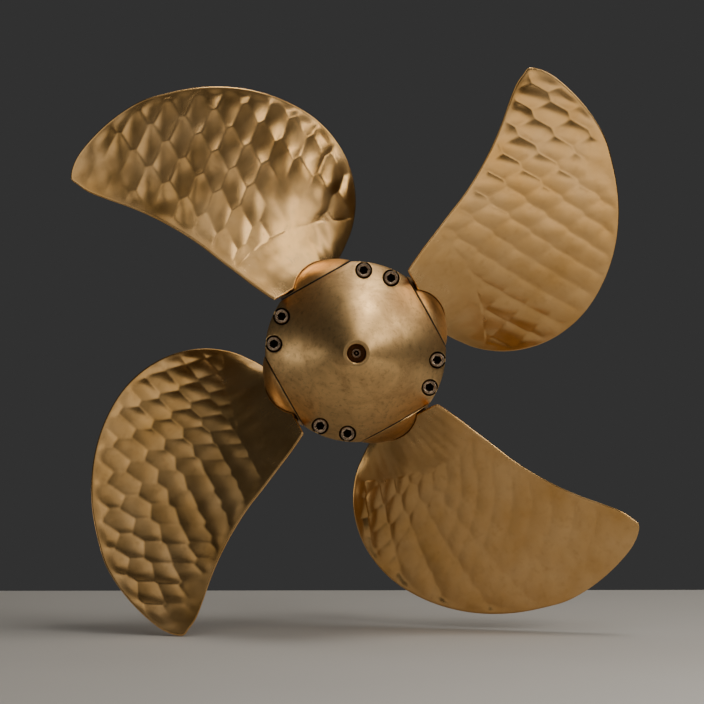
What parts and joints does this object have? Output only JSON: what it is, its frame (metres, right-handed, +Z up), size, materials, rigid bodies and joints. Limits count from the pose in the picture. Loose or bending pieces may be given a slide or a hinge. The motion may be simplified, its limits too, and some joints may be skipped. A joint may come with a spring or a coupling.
{
  "type": "ship propeller",
  "caption": "Controllable-pitch ship propeller in bronze: skewed right-handed blades on domed feet, turned in a split hub with a pointed cap and a shaft flange.",
  "frame": {"origin": "centre of the flange face that bolts to the propeller shaft", "axes": "+Y along the shaft axis, forward out of the flange face; the nose points along -Y; +Z up"},
  "size_m": [0.7182, 0.291, 0.7182],
  "materials": {
    "hub_bronze": "turned satin nickel-aluminium bronze",
    "blade_bronze": "ball-milled and hand-ground nickel-aluminium bronze",
    "plug_bronze": "darkened bronze",
    "screw_steel": "satin stainless steel",
    "seal_rubber": "matt black"
  },
  "bodies": {
    "hub": {"hub_fore_half": "hub_bronze", "hub_aft_half": "hub_bronze", "nose_plug": "plug_bronze", "grease_nipple": "screw_steel", "flange_o_ring": "seal_rubber", "cap_screw_1": "screw_steel", "cap_screw_2": "screw_steel", "cap_screw_3": "screw_steel", "cap_screw_4": "screw_steel", "cap_screw_5": "screw_steel", "cap_screw_6": "screw_steel", "cap_screw_7": "screw_steel", "cap_screw_8": "screw_steel", "flange_stud_1": "screw_steel", "flange_stud_2": "screw_steel", "flange_stud_3": "screw_steel", "flange_stud_4": "screw_steel", "flange_stud_5": "screw_steel", "flange_stud_6": "screw_steel", "flange_stud_7": "screw_steel", "flange_stud_8": "screw_steel", "flange_dowel_1": "screw_steel", "flange_dowel_2": "screw_steel", "foot_seal_1": "seal_rubber", "foot_seal_2": "seal_rubber", "foot_seal_3": "seal_rubber", "foot_seal_4": "seal_rubber"},
    "blade_1": {"blade_1": "blade_bronze"},
    "blade_2": {"blade_2": "blade_bronze"},
    "blade_3": {"blade_3": "blade_bronze"},
    "blade_4": {"blade_4": "blade_bronze"}
  },
  "joints": [
    {"name": "pitch_1", "type": "hinge", "parent": "hub", "child": "blade_1", "pos_m": [0, -0.112, 0], "axis": [0.8716, 0, 0.4901], "range_deg": [-44, 6]},
    {"name": "pitch_2", "type": "hinge", "parent": "hub", "child": "blade_2", "pos_m": [0, -0.112, 0], "axis": [-0.4901, 0, 0.8716], "range_deg": [-44, 6]},
    {"name": "pitch_3", "type": "hinge", "parent": "hub", "child": "blade_3", "pos_m": [0, -0.112, 0], "axis": [-0.8716, 0, -0.4901], "range_deg": [-44, 6]},
    {"name": "pitch_4", "type": "hinge", "parent": "hub", "child": "blade_4", "pos_m": [0, -0.112, 0], "axis": [0.4901, 0, -0.8716], "range_deg": [-44, 6]}
  ],
  "couplings": [
    {"joint": "pitch_2", "follows": "pitch_1", "ratio": 1},
    {"joint": "pitch_3", "follows": "pitch_1", "ratio": 1},
    {"joint": "pitch_4", "follows": "pitch_1", "ratio": 1}
  ]
}
